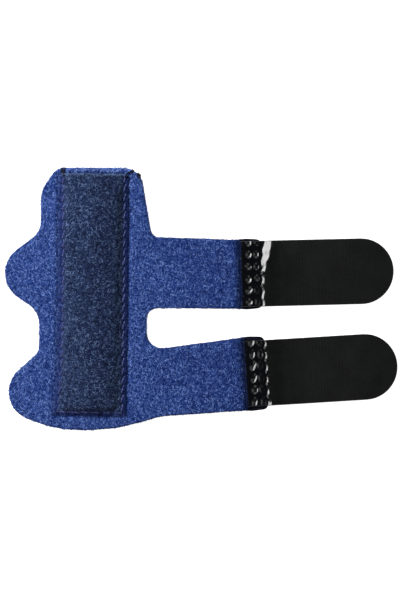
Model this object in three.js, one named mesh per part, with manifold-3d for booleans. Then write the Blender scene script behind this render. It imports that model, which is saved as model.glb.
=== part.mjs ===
// A finger splint, lying open on a table: a panel of foam faced with loop cloth, cut with two lobes on
// one side and two strap arms on the other, a sleeve of darker cloth sewn down its middle over a metal
// stay, and a moulded hook tab welded on the end of each arm.
// Units are millimetres. +Z is up, +Y runs along the finger and +X along the arms. The origin is the
// middle of the splint's footprint, on the surface that it lies on.

import * as THREE from "three";
import { mergeVertices } from "three/addons/utils/BufferGeometryUtils.js";
import Module from "manifold-3d";

// Panel: the lobes reach from x = 0 to the neck, and the slot between the arms starts at BODY_WIDTH.
const PANEL_LENGTH = 81;
const BODY_WIDTH = 43.2;
const PANEL_THICKNESS = 2.8;
const EDGE_ROUND = 0.7;

// Arms, from the slot's root to the arm's end.
const ARM_LENGTH = 35.4;
const ARM_WIDTH = 21.1;

// Weld that joins a tab to its arm: the arm's end is pressed thin, and its edges squeeze out a little.
const WELD_LENGTH = 6.4;
const PRESSED_THICKNESS = 1.2;
const PRESS_RAMP = 1.4;
const SQUEEZE = 0.35;
const WELD_CORNER = 1.3;

// Hook tabs.
const TAB_LENGTH = 47.2;
const TAB_WIDTH = 20.3;
const TAB_THICKNESS = 0.5;
const PAD_THICKNESS = 0.9;
const HUMP_HEIGHT = 1.1;
const DIMPLE_RADIUS = 1.1;
const DIMPLE_DEPTH = 0.55;
const DIMPLE_ROW_PITCH = 3.65;
const DIMPLE_COLUMN_PITCH = 2.5;
const DIMPLE_MIDDLE = 3.7;
const DIMPLE_ROWS = 6;
const DIMPLE_COLUMNS = 2;
const HOOK_HEIGHT = 0.8;
const HOOK_WIDTH = 0.4;
const HOOK_TIP_WIDTH = 0.24;
const HOOK_ROW_PITCH = 1.45;
const HOOK_ROWS = 13;
const HOOK_MARGIN = 1.1;

// Sleeve and the stay inside it: the sleeve ends NECK_MARGIN short of the neck's upper edge, and the
// stay ends MOUTH_ROOM short of the sleeve's mouth.
const NECK_MARGIN = 1.9;
const MOUTH_ROOM = 5.4;
const SLEEVE_WIDTH = 22.6;
const SLEEVE_WALL = 1.0;
const SLEEVE_LEAN_DEG = 1.42;
const LEFT_SEAM = 1.3;
const RIGHT_SEAM = 3;
const END_SEAM = 1.5;
const SEAM_SINK = 0.5;
const STAY_WIDTH = 13.6;
const STAY_THICKNESS = 1.2;
const STAY_CROWN = 1.3;
const STAY_CORNER = 3;
const STAY_LEFT_OFFSET = 0.35;
const STAY_FOOT = 3.2;

// Clearances between the pieces, and the fineness of the faceting.
const GAP = 0.3;
const SIDE_GAP = 0.4;
const ARC_STEP = THREE.MathUtils.degToRad(11);
const ARCH_STRIPS = 6;
const TIP_STRIPS = 16;
const DIMPLE_SIDES = 10;
const SHORTEST_SIDE = 0.01;
const JOIN_DISTANCE = 1e-4;

// The outline's corners, anticlockwise from the neck: x as a share of BODY_WIDTH, y and the radius that
// rounds the corner as shares of PANEL_LENGTH. The arms' ends are made by armEnd.
const NECK_AND_LOBES = [
  { corner: "neck, right shoulder", x: 0.955, y: 0.97, r: 0.056 },
  { corner: "neck, top right", x: 0.866, y: 1.0, r: 0.076 },
  { corner: "neck, top left", x: 0.355, y: 1.0, r: 0.046 },
  { corner: "neck, left shoulder", x: 0.241, y: 0.915, r: 0.114 },
  { corner: "waist above the upper lobe", x: 0.239, y: 0.756, r: 0.08 },
  { corner: "upper lobe", x: -0.17, y: 0.595, r: 0.11 },
  { corner: "notch, upper end", x: 0.231, y: 0.452, r: 0.091 },
  { corner: "notch, lower end", x: 0.226, y: 0.298, r: 0.046 },
  { corner: "lower lobe", x: -0.161, y: 0.11, r: 0.108 },
  { corner: "bottom, left", x: 0.342, y: 0.0, r: 0.472 },
  { corner: "bottom, right", x: 0.779, y: 0.0, r: 0.674 },
  { corner: "root of the lower arm", x: 1.092, y: 0.053, r: 0.228 },
];
const SLOT = [
  { corner: "slot, lower side", x: 0.993, y: 0.301, r: 0.061 },
  { corner: "slot, upper side", x: 0.993, y: 0.467, r: 0.042 },
];
const NECK_CORNER = [{ corner: "neck to the upper arm", x: 1.031, y: 0.735, r: 0.034 }];

// The arms: the height of the arm's end as a share of PANEL_LENGTH, its reach from the slot's root as a
// share of ARM_LENGTH, its width as a share of ARM_WIDTH, its tab's length as a share of TAB_LENGTH, its
// direction in degrees, and how far past the weld the tab takes to rise to its hump, low and high on it,
// in shares of TAB_WIDTH.
const ARMS = [
  { name: "upper", y: 0.597, reach: 1.0, width: 1.0, tab: 1.0, tilt: 1.4, low: 0.05, high: 0.15 },
  { name: "lower", y: 0.2175, reach: 1.039, width: 1.055, tab: 0.997, tilt: 3.4, low: 0.08, high: 0.05 },
];

// The sleeve's edges from its foot to its mouth: the height along the sleeve as a share of its length,
// and the reach to the left and right of its centre line in shares of SLEEVE_WIDTH.
const SLEEVE_EDGES = [
  { at: 0.0, left: 0.506, right: 0.501 },
  { at: 0.09, left: 0.486, right: 0.498 },
  { at: 0.19, left: 0.466, right: 0.498 },
  { at: 0.5, left: 0.468, right: 0.484 },
  { at: 1.0, left: 0.506, right: 0.46 },
];

// The foot of the sleeve's centre line, in shares of BODY_WIDTH and PANEL_LENGTH, and how high the sleeve
// still arches at its mouth, as a share of its full arch.
const SLEEVE_FOOT = { x: 0.585, y: 0.053 };
const MOUTH_ARCH = { share: 0.45 };

const SLEEVE_LEAN = THREE.MathUtils.degToRad(SLEEVE_LEAN_DEG);
const SLEEVE_LENGTH = (PANEL_LENGTH * (1 - SLEEVE_FOOT.y) - NECK_MARGIN) / Math.cos(SLEEVE_LEAN);
const STAY_LENGTH = SLEEVE_LENGTH - STAY_FOOT - MOUTH_ROOM;

// How high the tab's plate stands between the hump just past the weld, at 1, and its tip, at 0, with the
// place along the free stretch as a share of its length.
const TAB_FALL = [
  { at: 0.0, height: 1.0 },
  { at: 0.12, height: 0.98 },
  { at: 0.3, height: 0.74 },
  { at: 0.5, height: 0.38 },
  { at: 0.7, height: 0.1 },
  { at: 0.85, height: 0.0 },
  { at: 1.0, height: 0.0 },
];

const wasm = await Module();
wasm.setup();

const BLUE_LOOP_CLOTH = new THREE.MeshStandardMaterial({ color: 0x2f4884, roughness: 0.95 });
const NAVY_FELT = new THREE.MeshStandardMaterial({ color: 0x263350, roughness: 0.97 });
const BLACK_PLASTIC = new THREE.MeshStandardMaterial({ color: 0x141516, roughness: 0.4 });
const ALUMINIUM = new THREE.MeshStandardMaterial({ color: 0xc9cccf, roughness: 0.35, metalness: 1 });

// Turns a closed geometry into a solid that can be joined and cut.
function toSolid(geometry) {
  const bare = geometry.index ? geometry.toNonIndexed() : geometry.clone();
  bare.deleteAttribute("normal");
  bare.deleteAttribute("uv");
  const merged = mergeVertices(bare, JOIN_DISTANCE);
  return new wasm.Manifold(
    new wasm.Mesh({
      numProp: 3,
      vertProperties: merged.attributes.position.array,
      triVerts: new Uint32Array(merged.index.array),
    }),
  );
}

// Turns a solid back into a geometry with flat faces.
function toGeometry(solid) {
  const mesh = solid.getMesh();
  const shared = new THREE.BufferGeometry();
  shared.setAttribute("position", new THREE.BufferAttribute(mesh.vertProperties, 3));
  shared.setIndex(new THREE.BufferAttribute(mesh.triVerts, 1));
  const geometry = shared.toNonIndexed();
  geometry.computeVertexNormals();
  return geometry;
}

function namedMesh(name, geometry, material) {
  const mesh = new THREE.Mesh(geometry, material);
  mesh.name = name;
  return mesh;
}

// Reads a table at a place between its rows, in a straight line from row to row.
function readTable(rows, at, column) {
  const next = Math.max(1, rows.findIndex((row) => row.at >= at));
  const [low, high] = [rows[next - 1], rows[next]];
  const share = THREE.MathUtils.clamp((at - low.at) / (high.at - low.at), 0, 1);
  return THREE.MathUtils.lerp(low[column], high[column], share);
}

// The opening between the two sides that meet at a corner, and how far back along them its arc starts.
function cornerAt(corners, i) {
  const here = new THREE.Vector2(corners[i].x, corners[i].y);
  const before = corners[(i + corners.length - 1) % corners.length];
  const after = corners[(i + 1) % corners.length];
  const back = new THREE.Vector2(before.x, before.y).sub(here);
  const on = new THREE.Vector2(after.x, after.y).sub(here);
  const half = Math.acos(THREE.MathUtils.clamp(back.dot(on) / back.length() / on.length(), -1, 1)) / 2;
  return { here, back, on, half, setback: corners[i].r / Math.tan(half) };
}

// A closed outline whose corners are rounded, each by its own radius. Where two arcs would share more
// than the side between them, both are drawn smaller.
function roundedOutline(corners) {
  const marks = corners.map((_, i) => cornerAt(corners, i));
  const room = marks.map((mark, i) => {
    const next = marks[(i + 1) % marks.length];
    return Math.min(1, mark.on.length() / (mark.setback + next.setback));
  });
  const points = [];
  marks.forEach((mark, i) => {
    const setback = mark.setback * Math.min(room[i], room[(i + room.length - 1) % room.length]);
    const radius = setback * Math.tan(mark.half);
    const back = mark.back.clone().normalize();
    const on = mark.on.clone().normalize();
    const turn = Math.sign(on.cross(back)) * (Math.PI - 2 * mark.half);
    const centre = back.clone().add(on).setLength(radius / Math.sin(mark.half)).add(mark.here);
    const start = back.multiplyScalar(setback).add(mark.here);
    const steps = Math.ceil(Math.abs(turn) / ARC_STEP);
    for (let step = 0; step <= steps; step++) {
      points.push(start.clone().rotateAround(centre, (turn * step) / steps));
    }
  });
  return points.filter((point, i) => point.distanceTo(points.at(i - 1)) > SHORTEST_SIDE);
}

// A solid between an upper and a lower skin, each a grid of points given row by row.
function skinnedGrid(upper, lower) {
  const rows = upper.length;
  const columns = upper[0].length;
  const positions = [];
  const quad = (a, b, c, d) => [a, b, c, a, c, d].forEach((p) => positions.push(p.x, p.y, p.z));
  for (let i = 0; i + 1 < rows; i++) {
    for (let j = 0; j + 1 < columns; j++) {
      quad(upper[i][j], upper[i][j + 1], upper[i + 1][j + 1], upper[i + 1][j]);
      quad(lower[i][j], lower[i + 1][j], lower[i + 1][j + 1], lower[i][j + 1]);
    }
    quad(upper[i][0], upper[i + 1][0], lower[i + 1][0], lower[i][0]);
    const j = columns - 1;
    quad(upper[i + 1][j], upper[i][j], lower[i][j], lower[i + 1][j]);
  }
  for (let j = 0; j + 1 < columns; j++) {
    quad(upper[0][j + 1], upper[0][j], lower[0][j], lower[0][j + 1]);
    const i = rows - 1;
    quad(upper[i][j], upper[i][j + 1], lower[i][j + 1], lower[i][j]);
  }
  const geometry = new THREE.BufferGeometry();
  geometry.setAttribute("position", new THREE.Float32BufferAttribute(positions, 3));
  geometry.computeVertexNormals();
  return geometry;
}

// The frame of a tab and of the weld under it: its origin is where the tab starts on the arm, and its X
// axis runs out along the arm.
function tabFrame(arm) {
  const tilt = THREE.MathUtils.degToRad(arm.tilt);
  const along = new THREE.Vector2(Math.cos(tilt), Math.sin(tilt));
  const end = new THREE.Vector2(BODY_WIDTH + ARM_LENGTH * arm.reach, PANEL_LENGTH * arm.y);
  const start = end.clone().addScaledVector(along, -WELD_LENGTH);
  return { tilt, start };
}

// The corners at the end of an arm, from its lower to its upper side.
function armEnd(arm) {
  const frame = tabFrame(arm);
  const half = (ARM_WIDTH * arm.width) / 2;
  const side = [
    { x: -PRESS_RAMP, y: -half, r: PRESS_RAMP },
    { x: PRESS_RAMP, y: -half - SQUEEZE, r: 2 * PRESS_RAMP },
    { x: WELD_LENGTH, y: -half, r: WELD_CORNER },
  ];
  const other = side.map((corner) => ({ ...corner, y: -corner.y })).reverse();
  return [...side, ...other].map((corner) => {
    const place = new THREE.Vector2(corner.x, corner.y).rotateAround(new THREE.Vector2(), frame.tilt);
    return { ...corner, x: place.x + frame.start.x, y: place.y + frame.start.y };
  });
}

function tableCorners(rows) {
  return rows.map((row) => ({
    x: row.x * BODY_WIDTH,
    y: row.y * PANEL_LENGTH,
    r: row.r * PANEL_LENGTH,
  }));
}

// What the weld's press takes off the top of an arm, in the tab's frame.
function weldPress(arm) {
  const above = 2 * PANEL_THICKNESS;
  const slope = PRESS_RAMP / (PANEL_THICKNESS - PRESSED_THICKNESS);
  const profile = new THREE.Shape();
  profile.moveTo(0, PRESSED_THICKNESS);
  profile.lineTo(2 * WELD_LENGTH, PRESSED_THICKNESS);
  profile.lineTo(2 * WELD_LENGTH, above);
  profile.lineTo(-slope * (above - PRESSED_THICKNESS), above);
  profile.closePath();
  const across = 2 * ARM_WIDTH * arm.width;
  const geometry = new THREE.ExtrudeGeometry(profile, { depth: across, bevelEnabled: false });
  geometry.rotateX(Math.PI / 2).translate(0, across / 2, 0);
  const frame = tabFrame(arm);
  return geometry.rotateZ(frame.tilt).translate(frame.start.x, frame.start.y, 0);
}

// The sleeve's left and right edge at a height along it.
function sleeveEdges(y) {
  const at = y / SLEEVE_LENGTH;
  return {
    left: -readTable(SLEEVE_EDGES, at, "left") * SLEEVE_WIDTH,
    right: readTable(SLEEVE_EDGES, at, "right") * SLEEVE_WIDTH,
  };
}

// The shallow bed that the sewn sleeve sinks into, in the sleeve's frame.
function seamBed() {
  const heights = SLEEVE_EDGES.map((row) => row.at * SLEEVE_LENGTH);
  const left = heights.map((y) => new THREE.Vector2(sleeveEdges(y).left - SIDE_GAP, y));
  const right = heights.map((y) => new THREE.Vector2(sleeveEdges(y).right + SIDE_GAP, y)).reverse();
  left[0].y -= SIDE_GAP;
  left.at(-1).y += SIDE_GAP;
  right[0].y += SIDE_GAP;
  right.at(-1).y -= SIDE_GAP;
  const geometry = new THREE.ExtrudeGeometry(new THREE.Shape([...left, ...right]), {
    depth: 2 * SEAM_SINK,
    bevelEnabled: false,
  });
  return geometry.translate(0, 0, PANEL_THICKNESS - SEAM_SINK);
}

// The sleeve and the stay lean together, about the foot of the sleeve.
function placeInSleeve(object) {
  object.position.set(SLEEVE_FOOT.x * BODY_WIDTH, SLEEVE_FOOT.y * PANEL_LENGTH, 0);
  object.rotation.z = -SLEEVE_LEAN;
  object.updateMatrix();
  return object;
}

// The panel: the cut outline with rounded edges, pressed thin at the two welds and under the sleeve.
function makePanel() {
  const [upper, lower] = ARMS;
  const outline = roundedOutline([
    ...tableCorners(NECK_AND_LOBES),
    ...armEnd(lower),
    ...tableCorners(SLOT),
    ...armEnd(upper),
    ...tableCorners(NECK_CORNER),
  ]);
  const sheet = new THREE.ExtrudeGeometry(new THREE.Shape(outline), {
    depth: PANEL_THICKNESS - 2 * EDGE_ROUND,
    bevelThickness: EDGE_ROUND,
    bevelSize: EDGE_ROUND,
    bevelOffset: -EDGE_ROUND,
    bevelSegments: 2,
  });
  const bed = seamBed().applyMatrix4(placeInSleeve(new THREE.Object3D()).matrix);
  let solid = toSolid(sheet.translate(0, 0, EDGE_ROUND)).subtract(toSolid(bed));
  for (const arm of ARMS) solid = solid.subtract(toSolid(weldPress(arm)));
  return namedMesh("panel", toGeometry(solid), BLUE_LOOP_CLOTH);
}

// Where the stay's underside lies, and the strips that both the stay and the sleeve's arch are made of.
const BED_LEVEL = PANEL_THICKNESS - SEAM_SINK;
const STAY_LEVEL = BED_LEVEL + GAP;
const ARCH_PLACES = Array.from(
  { length: ARCH_STRIPS + 1 },
  (_, i) => (i / ARCH_STRIPS - 0.5) * STAY_WIDTH,
);

// How far the stay's crown rises at a distance from its middle.
function crownAt(x) {
  const share = (2 * x) / STAY_WIDTH;
  return STAY_CROWN * (1 - share * share);
}

// The stay: a flat bar with rounded corners, crowned across its width.
function makeStay() {
  const top = ARCH_PLACES.map((x) => new THREE.Vector2(x, crownAt(x) + STAY_THICKNESS));
  const bottom = ARCH_PLACES.map((x) => new THREE.Vector2(x, crownAt(x))).reverse();
  const arch = new THREE.ExtrudeGeometry(new THREE.Shape([...bottom, ...top]), {
    depth: STAY_LENGTH,
    bevelEnabled: false,
  });
  arch.rotateX(Math.PI / 2).translate(0, STAY_LENGTH, 0);
  const half = STAY_WIDTH / 2;
  const plan = roundedOutline([
    { x: -half, y: 0, r: STAY_CORNER },
    { x: half, y: 0, r: STAY_CORNER },
    { x: half, y: STAY_LENGTH, r: STAY_CORNER },
    { x: -half, y: STAY_LENGTH, r: STAY_CORNER },
  ]);
  const blank = new THREE.ExtrudeGeometry(new THREE.Shape(plan), {
    depth: 3 * (STAY_CROWN + STAY_THICKNESS),
    bevelEnabled: false,
  });
  blank.translate(0, 0, -STAY_CROWN - STAY_THICKNESS);
  const solid = toSolid(arch).intersect(toSolid(blank));
  const geometry = toGeometry(solid).translate(-STAY_LEFT_OFFSET, STAY_FOOT, STAY_LEVEL);
  return placeInSleeve(namedMesh("stay_bar", geometry, ALUMINIUM));
}

// The height of the sleeve's underside: flat along its seams, and up over the stay.
function sleeveUnderside(x, y) {
  const flat = BED_LEVEL + GAP;
  const { left, right } = sleeveEdges(y);
  const fromMiddle = x + STAY_LEFT_OFFSET;
  const overStay = THREE.MathUtils.clamp(fromMiddle, -STAY_WIDTH / 2, STAY_WIDTH / 2);
  const arch = STAY_LEVEL + STAY_THICKNESS + crownAt(overStay);
  const reach = STAY_WIDTH / 2 + SIDE_GAP;
  const leftFoot = -STAY_LEFT_OFFSET - left - LEFT_SEAM;
  const rightFoot = STAY_LEFT_OFFSET + right - RIGHT_SEAM;
  const foot = fromMiddle < 0 ? leftFoot : rightFoot;
  const aside = 1 - THREE.MathUtils.clamp((Math.abs(fromMiddle) - reach) / (foot - reach), 0, 1);
  const below = THREE.MathUtils.clamp((y - END_SEAM) / (STAY_FOOT - SIDE_GAP - END_SEAM), 0, 1);
  const over = SLEEVE_LENGTH - END_SEAM - y;
  const mouth = SLEEVE_LENGTH - END_SEAM - STAY_FOOT - STAY_LENGTH - SIDE_GAP;
  const above = THREE.MathUtils.clamp(over / mouth, MOUTH_ARCH.share, 1);
  return flat + (arch + GAP - flat) * aside * Math.min(below, above);
}

// The sleeve: one wall of cloth that is sewn flat along its sides and foot, arches over the stay, and
// comes part of the way down to an open mouth at its upper end.
function makeSleeve() {
  const heights = [
    0,
    END_SEAM,
    STAY_FOOT - SIDE_GAP,
    ...SLEEVE_EDGES.slice(1, -1).map((row) => row.at * SLEEVE_LENGTH),
    STAY_FOOT + STAY_LENGTH + SIDE_GAP,
    SLEEVE_LENGTH - END_SEAM,
    SLEEVE_LENGTH,
  ];
  const lower = heights.map((y) => {
    const { left, right } = sleeveEdges(y);
    const reach = STAY_WIDTH / 2 + SIDE_GAP;
    const places = [
      left,
      left + LEFT_SEAM,
      -STAY_LEFT_OFFSET - reach,
      ...ARCH_PLACES.slice(1, -1).map((x) => x - STAY_LEFT_OFFSET),
      -STAY_LEFT_OFFSET + reach,
      right - RIGHT_SEAM,
      right,
    ];
    return places.map((x) => new THREE.Vector3(x, y, sleeveUnderside(x, y)));
  });
  const upper = lower.map((row, i) =>
    row.map((point, j) => {
      const level = new THREE.Vector3(0, 0, 1);
      const inside = i > 0 && j > 0 && i + 1 < lower.length && j + 1 < row.length;
      if (inside) {
        const across = row[j + 1].clone().sub(row[j - 1]);
        const along = lower[i + 1][j].clone().sub(lower[i - 1][j]);
        level.crossVectors(across, along).normalize();
      }
      return point.clone().addScaledVector(level, SLEEVE_WALL);
    }),
  );
  return placeInSleeve(namedMesh("sleeve", skinnedGrid(upper, lower), NAVY_FELT));
}

const PAD_LEVEL = PRESSED_THICKNESS + GAP;
const LONGEST_RISE = Math.max(...ARMS.flatMap((arm) => [arm.low, arm.high])) * TAB_WIDTH;
const HUMP_END = WELD_LENGTH + LONGEST_RISE;

// The height of the underside of a tab's plate at a place on it: level on the weld, up to the hump just
// past it, and down to where its hooks stand on the table.
function tabUnderside(arm, x, y) {
  const past = x - WELD_LENGTH;
  if (past <= 0) return PAD_LEVEL;
  const side = y / TAB_WIDTH + 0.5;
  const rise = THREE.MathUtils.lerp(arm.low, arm.high, side) * TAB_WIDTH;
  const high = PAD_LEVEL + HUMP_HEIGHT;
  if (past < rise) {
    return THREE.MathUtils.lerp(PAD_LEVEL, high, THREE.MathUtils.smoothstep(past, 0, rise));
  }
  const free = TAB_LENGTH * arm.tab - WELD_LENGTH;
  const fall = readTable(TAB_FALL, (past - rise) / (free - rise), "height");
  return THREE.MathUtils.lerp(HOOK_HEIGHT, high, fall);
}

// A tab's plate is as thick as its pad on the weld, and thins where it leaves it.
function tabThickness(x) {
  const share = THREE.MathUtils.clamp((x - WELD_LENGTH) / (2 * PAD_THICKNESS), 0, 1);
  return THREE.MathUtils.lerp(PAD_THICKNESS, TAB_THICKNESS, share);
}

// Where the tab's round tip ends at a distance from its middle line.
function tipAt(arm, y) {
  const radius = TAB_WIDTH / 2;
  return TAB_LENGTH * arm.tab - radius + Math.sqrt(Math.max(0, radius * radius - y * y));
}

// The places along a tab where its plate bends, the same for the plate and its rows of hooks.
function tabPlaces(arm) {
  const hump = [1, 2, 3, 4, 5].map((step) => WELD_LENGTH + ((HUMP_END - WELD_LENGTH) * step) / 5);
  const free = TAB_LENGTH * arm.tab - WELD_LENGTH;
  const fall = TAB_FALL.slice(1, -1).map((row) => WELD_LENGTH + row.at * free);
  return [...hump, ...fall.filter((x) => x > HUMP_END)];
}

// The plate of a tab, in strips along it that end on its round tip.
function makePlate(arm) {
  const end = TAB_LENGTH * arm.tab;
  const places = [0, WELD_LENGTH, ...tabPlaces(arm), end];
  const strips = Array.from({ length: TIP_STRIPS + 1 }, (_, i) => (i / TIP_STRIPS - 0.5) * Math.PI);
  const lower = strips.map((angle) => {
    const y = (TAB_WIDTH / 2) * Math.sin(angle);
    const share = (tipAt(arm, y) - HUMP_END) / (end - HUMP_END);
    return places.map((place) => {
      const x = place <= HUMP_END ? place : HUMP_END + (place - HUMP_END) * share;
      return new THREE.Vector3(x, y, tabUnderside(arm, x, y));
    });
  });
  const upper = lower.map((row) => row.map((p) => new THREE.Vector3(p.x, p.y, p.z + tabThickness(p.x))));
  return skinnedGrid(upper, lower);
}

// One row of hooks, drawn as the rib that the hooks are cut from.
function makeHookRow(arm, y) {
  const start = HUMP_END + HOOK_MARGIN;
  const end = tipAt(arm, y) - HOOK_MARGIN;
  const places = [start, ...tabPlaces(arm).filter((x) => x > start && x < end), end];
  const skin = (aside, lift) =>
    places.map((x) => new THREE.Vector3(x, y + aside, tabUnderside(arm, x, y) + lift));
  const sunk = TAB_THICKNESS / 2;
  const upper = [skin(-HOOK_WIDTH / 2, sunk), skin(HOOK_WIDTH / 2, sunk)];
  const lower = [skin(-HOOK_TIP_WIDTH / 2, -HOOK_HEIGHT), skin(HOOK_TIP_WIDTH / 2, -HOOK_HEIGHT)];
  return skinnedGrid(upper, lower);
}

// The dimples that the weld's pins leave in the pad.
function weldDimples() {
  const cut = new THREE.CylinderGeometry(DIMPLE_RADIUS, DIMPLE_RADIUS / 2, DIMPLE_DEPTH, DIMPLE_SIDES);
  cut.rotateX(Math.PI / 2).translate(0, 0, PAD_LEVEL + PAD_THICKNESS - DIMPLE_DEPTH / 2 + SHORTEST_SIDE);
  const dimples = [];
  for (let row = 0; row < DIMPLE_ROWS; row++) {
    for (let column = 0; column < DIMPLE_COLUMNS; column++) {
      const x = DIMPLE_MIDDLE + (column - (DIMPLE_COLUMNS - 1) / 2) * DIMPLE_COLUMN_PITCH;
      const y = (row - (DIMPLE_ROWS - 1) / 2) * DIMPLE_ROW_PITCH;
      dimples.push(toSolid(cut.clone().translate(x, y, 0)));
    }
  }
  return dimples;
}

// A hook tab: a thin moulded plate with a round tip, welded on at its pad, with rows of hooks below.
function makeTab(arm) {
  let solid = toSolid(makePlate(arm));
  for (const dimple of weldDimples()) solid = solid.subtract(dimple);
  for (let row = 0; row < HOOK_ROWS; row++) {
    const y = (row - (HOOK_ROWS - 1) / 2) * HOOK_ROW_PITCH;
    solid = solid.add(toSolid(makeHookRow(arm, y)));
  }
  const frame = tabFrame(arm);
  const tab = namedMesh(`${arm.name}_hook_tab`, toGeometry(solid), BLACK_PLASTIC);
  tab.position.set(frame.start.x, frame.start.y, 0);
  tab.rotation.z = frame.tilt;
  return tab;
}

const splint = new THREE.Group();
splint.add(makePanel(), makeSleeve(), makeStay(), ...ARMS.map(makeTab));
splint.updateMatrixWorld(true);
const footprint = new THREE.Box3().setFromObject(splint, true);
const middle = footprint.getCenter(new THREE.Vector3());
splint.position.set(-middle.x, -middle.y, -footprint.min.z);

const fingerSplint = new THREE.Group();
fingerSplint.add(splint);

export default fingerSplint;
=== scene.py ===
"""The looks of a finger splint that lies open on a table, seen from straight above.

The solids come packed, and the soft pieces are made again here from their shapes: the foam laminate
with its loop pile, the sewn sleeve, the welded hook tabs, the stitches and the hooks. Lengths are in
metres, and MM turns the sizes of cloth and thread into them.
"""

import math

import bmesh
import bpy
import numpy as np
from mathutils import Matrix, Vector, geometry, noise
from mathutils.bvhtree import BVHTree


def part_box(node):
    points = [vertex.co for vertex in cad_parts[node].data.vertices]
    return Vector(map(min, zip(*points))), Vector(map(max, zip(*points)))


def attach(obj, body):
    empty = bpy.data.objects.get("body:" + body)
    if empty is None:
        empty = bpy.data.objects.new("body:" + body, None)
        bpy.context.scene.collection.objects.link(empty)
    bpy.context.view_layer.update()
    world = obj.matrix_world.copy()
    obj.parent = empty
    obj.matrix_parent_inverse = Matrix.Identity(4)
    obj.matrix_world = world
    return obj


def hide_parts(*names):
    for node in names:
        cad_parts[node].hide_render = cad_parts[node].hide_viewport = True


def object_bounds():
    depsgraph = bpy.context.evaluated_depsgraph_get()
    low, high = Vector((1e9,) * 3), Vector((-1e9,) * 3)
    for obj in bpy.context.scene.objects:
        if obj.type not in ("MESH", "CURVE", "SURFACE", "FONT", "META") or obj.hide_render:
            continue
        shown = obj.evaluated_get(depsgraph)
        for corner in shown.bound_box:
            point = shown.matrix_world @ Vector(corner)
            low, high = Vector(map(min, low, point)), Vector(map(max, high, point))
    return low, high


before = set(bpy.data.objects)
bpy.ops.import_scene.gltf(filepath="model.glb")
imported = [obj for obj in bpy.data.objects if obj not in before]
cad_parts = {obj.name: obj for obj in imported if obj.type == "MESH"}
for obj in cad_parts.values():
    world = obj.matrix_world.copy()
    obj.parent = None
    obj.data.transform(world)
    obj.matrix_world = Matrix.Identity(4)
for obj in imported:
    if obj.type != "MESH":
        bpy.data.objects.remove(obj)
cad_low, cad_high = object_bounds()
scene = bpy.context.scene

MM = 0.001
UP = Vector((0, 0, 1))
SEED = 11
STITCH_SEED = 31
TAB_SEEDS = {"upper_hook_tab": 50, "lower_hook_tab": 51}
random = np.random.default_rng(SEED)

# The photograph's frame. The object's middle lies a little right of and above the frame's middle.
PHOTO_PIXELS = (400, 600)
PIXEL = 0.31 * MM
OBJECT_MIDDLE_PIXEL = (201.2, 299.0)
CAMERA_HEIGHT = 0.9
SHARP_LEVEL = 1.6 * MM

# The foam laminate: two faces of loop cloth on a dark foam core, whose cut edge is a little hollow.
CORE_RECESS = 0.14 * MM
UNDER_LEVEL = 0.12 * MM
OUTLINE_LEVEL = 0.9 * MM
CORNER_SOFTNESS = 0.35 * MM
EDGE_STEP = 0.5 * MM
EDGE_SWELL = 0.12 * MM
FACE_STEP = 0.7 * MM
FACE_JITTER = 0.08
FACE_INSET = 1.2 * MM
FACE_WAVE = 0.05 * MM
FACE_WAVE_SIZE = 7 * MM
# The edge's rings from the underside up: inset from the outline, and height as a share of the thickness.
EDGE_RINGS = [
    (0.75 * MM, 0.0), (0.42 * MM, 0.015), (0.18 * MM, 0.05), (0.04 * MM, 0.11), (0.0, 0.17),
    (CORE_RECESS, 0.21), (1.4 * CORE_RECESS, 0.5), (CORE_RECESS, 0.79),
    (0.0, 0.83), (0.04 * MM, 0.89), (0.18 * MM, 0.95), (0.42 * MM, 0.985), (0.75 * MM, 1.0),
]
CORE_RINGS = (4, 8)
# A node's heights just past its edge come from those within this reach.
FAR_SOFTNESS = 2 * MM

# The pile: loops of fibre, each drawn as one flat ribbon.
PILE_LOOPS = 24000
UNDER_LOOPS = 8000
MOUTH_FIBRES = 160
LOOP_LENGTH = 0.95 * MM
LOOP_HEIGHT = 0.24 * MM
LOOP_WIDTH = 0.16 * MM
LOOP_SEGMENTS = 4
# The least and most of those sizes in one loop, as shares of them.
LOOP_LENGTHS = (0.5, 1.5)
LOOP_HEIGHTS = (0.4, 1.6)
LOOP_WIDTHS = (0.5, 1.3)
LOOP_SWING = 0.22
LOOP_CURL = 0.14
LOOP_LEAN = 0.5
ROOT_DEPTH = 0.06 * MM
TONE_MIDDLE = 0.4
TONE_SPREAD = 0.32
# How strong the paler and darker tufts are, and how large.
TUFTS = ((0.15, 1.1 * MM), (0.07, 5 * MM))
MATTED = 0.6
BARE_INSET = 0.3 * MM
NECK_BAND_PALER = 0.3
# Painted shade: the panel's pile grows darker towards the arms' ends, where the key light falls off.
ARMS_PAINTED_SHADE = 0.08
# Painted shade: the pile is darker on slopes that face the foot, away from the light.
FOOTWARD_PAINTED_SHADE = 0.35
# Painted light: the sleeve's pile is paler on its left side, which faces the key light.
LEFT_PAINTED_LIGHT = 0.17
# Painted light: the sleeve's pile is paler in the shaded valley beside its right seam, lifting that shade.
VALLEY_PAINTED_LIGHT = 0.22
NAVY_TONE = 0.96
COMBED = 0.18
FRINGE_FIBRES = 420
FRINGE_SPREAD = 0.16 * MM
FRINGE_HEIGHT = 0.1 * MM

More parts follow.
